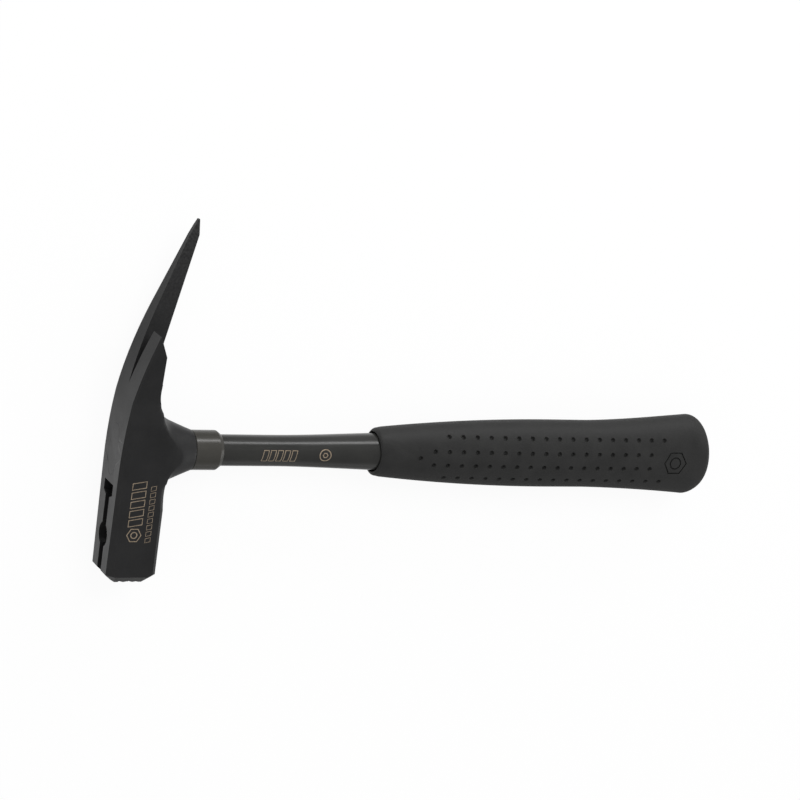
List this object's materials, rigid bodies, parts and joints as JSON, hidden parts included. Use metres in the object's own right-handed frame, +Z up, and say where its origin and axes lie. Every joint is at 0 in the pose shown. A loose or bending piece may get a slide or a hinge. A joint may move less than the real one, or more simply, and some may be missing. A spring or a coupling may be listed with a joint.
{
  "type": "roofing hammer",
  "caption": "Roofing hammer with a square waffle face, magnetic nail starter, side nail puller, long pick, steel tube handle and dimpled rubber grip.",
  "frame": {"origin": "bottom centre of the hammer's box as it lies on its side on the ground", "axes": "+X along the handle from the head to the butt, +Y the way the pick points, +Z up, out of the cheek that carries the nail puller"},
  "size_m": [0.3306, 0.1812, 0.0342],
  "materials": {
    "blackened_steel": "matt black coating on forged steel",
    "lacquered_steel": "glossy dark grey lacquer on a steel tube",
    "nickel": "nickel-plated magnet",
    "rubber": "satin moulded rubber with dimples",
    "plastic": "black moulded plastic"
  },
  "bodies": {
    "root": {"head": "blackened_steel", "nail_magnet": "nickel", "eye_plug": "blackened_steel", "neck_sleeve": "lacquered_steel", "handle_tube": "lacquered_steel", "tube_end_plug": "plastic", "grip": "rubber"}
  },
  "joints": []
}
